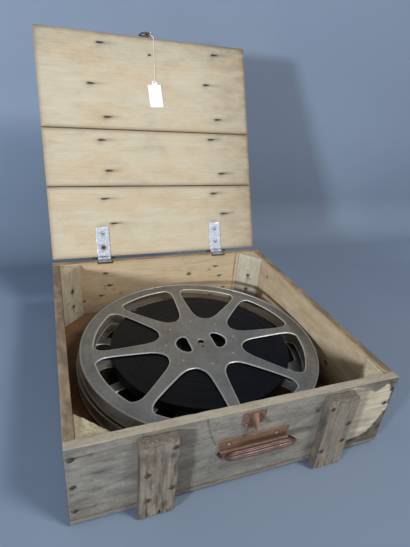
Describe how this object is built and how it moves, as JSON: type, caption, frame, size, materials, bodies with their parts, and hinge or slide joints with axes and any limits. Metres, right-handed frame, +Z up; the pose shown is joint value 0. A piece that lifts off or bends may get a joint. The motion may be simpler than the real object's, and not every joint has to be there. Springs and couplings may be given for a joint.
{
  "type": "film reel crate",
  "caption": "Flat square wooden crate for large film reels: nailed boards and battens, hinged lid leaning open, hasp and catch, folding bail handle, blank tag on a string.",
  "frame": {"origin": "middle of the ground footprint of the crate with its lid open; the batten feet stand on z = 0", "axes": "+X to the right seen from the front, where the handle is; +Y from the front wall to the hinge side; +Z up"},
  "size_m": [0.42, 0.6557, 0.5179],
  "materials": {
    "wall_pine": "weathered",
    "floor_pine": "worn",
    "batten_wood": "weathered",
    "block_wood": "rough sawn",
    "lid_pine": "bare",
    "nail_steel": "rusty",
    "rusty_steel": "rusty",
    "wire_steel": "rusty",
    "grip_sheet": "worn",
    "zinc_steel": "dull",
    "card": "matt",
    "cotton": "twisted",
    "flange_metal": "dull",
    "hub_metal": "dull",
    "film": "satin"
  },
  "bodies": {
    "crate": {"front_wall": "wall_pine", "back_wall": "wall_pine", "left_wall": "wall_pine", "right_wall": "wall_pine", "bottom_board_front": "floor_pine", "bottom_board_middle": "floor_pine", "bottom_board_back": "floor_pine", "bottom_runner_left": "batten_wood", "bottom_runner_right": "batten_wood", "front_batten_left": "batten_wood", "front_batten_right": "batten_wood", "back_batten_left": "batten_wood", "back_batten_right": "batten_wood", "corner_block_front_left": "block_wood", "corner_block_front_right": "block_wood", "corner_block_back_left": "block_wood", "corner_block_back_right": "block_wood", "wall_nails": "nail_steel", "batten_nails": "nail_steel", "bottom_nails": "nail_steel", "block_nails": "nail_steel", "handle_plate": "rusty_steel", "handle_nails": "rusty_steel", "catch_plate": "rusty_steel", "catch_beak": "rusty_steel", "catch_nails": "rusty_steel", "hinge_wall_leaf_left": "zinc_steel", "hinge_wall_leaf_right": "zinc_steel", "hinge_wall_screws": "zinc_steel", "hinge_pin_left": "zinc_steel", "hinge_pin_right": "zinc_steel"},
    "lid": {"lid_board_front": "lid_pine", "lid_board_middle": "lid_pine", "lid_board_back": "lid_pine", "lid_batten_left": "batten_wood", "lid_batten_right": "batten_wood", "lid_nails": "nail_steel", "hinge_lid_leaf_left": "zinc_steel", "hinge_lid_leaf_right": "zinc_steel", "hinge_lid_screws": "zinc_steel", "hasp_strap": "wire_steel", "hasp_nails": "nail_steel", "tag_card": "card", "tag_string": "cotton"},
    "hasp_loop": {"hasp_loop": "wire_steel"},
    "bail": {"handle_bail": "wire_steel", "handle_grip": "grip_sheet"},
    "lower_reel": {"lower_reel_top_flange": "flange_metal", "lower_reel_bottom_flange": "flange_metal", "lower_reel_hub": "hub_metal", "lower_reel_film": "film"},
    "upper_reel": {"upper_reel_top_flange": "flange_metal", "upper_reel_bottom_flange": "flange_metal", "upper_reel_hub": "hub_metal", "upper_reel_film": "film"}
  },
  "joints": [
    {"name": "lid_hinge", "type": "hinge", "parent": "crate", "child": "lid", "pos_m": [0, 0.11894, 0.12505], "axis": [1, 0, 0], "range_deg": [0, 114]},
    {"name": "hasp_loop_swing", "type": "hinge", "parent": "lid", "child": "hasp_loop", "pos_m": [-0.0023, 0.29688, 0.51488], "axis": [1, 0, 0], "range_deg": [0, 162]},
    {"name": "bail_swing", "type": "hinge", "parent": "crate", "child": "bail", "pos_m": [0.0025, -0.30916, 0.0695], "axis": [-1, 0, 0], "range_deg": [-118, 16]},
    {"name": "lower_reel_lift", "type": "slide", "parent": "crate", "child": "lower_reel", "axis": [0, 0, 1], "range_m": [0, 0.02]},
    {"name": "upper_reel_lift", "type": "slide", "parent": "lower_reel", "child": "upper_reel", "axis": [0, 0, 1], "range_m": [0, 0.028]}
  ]
}
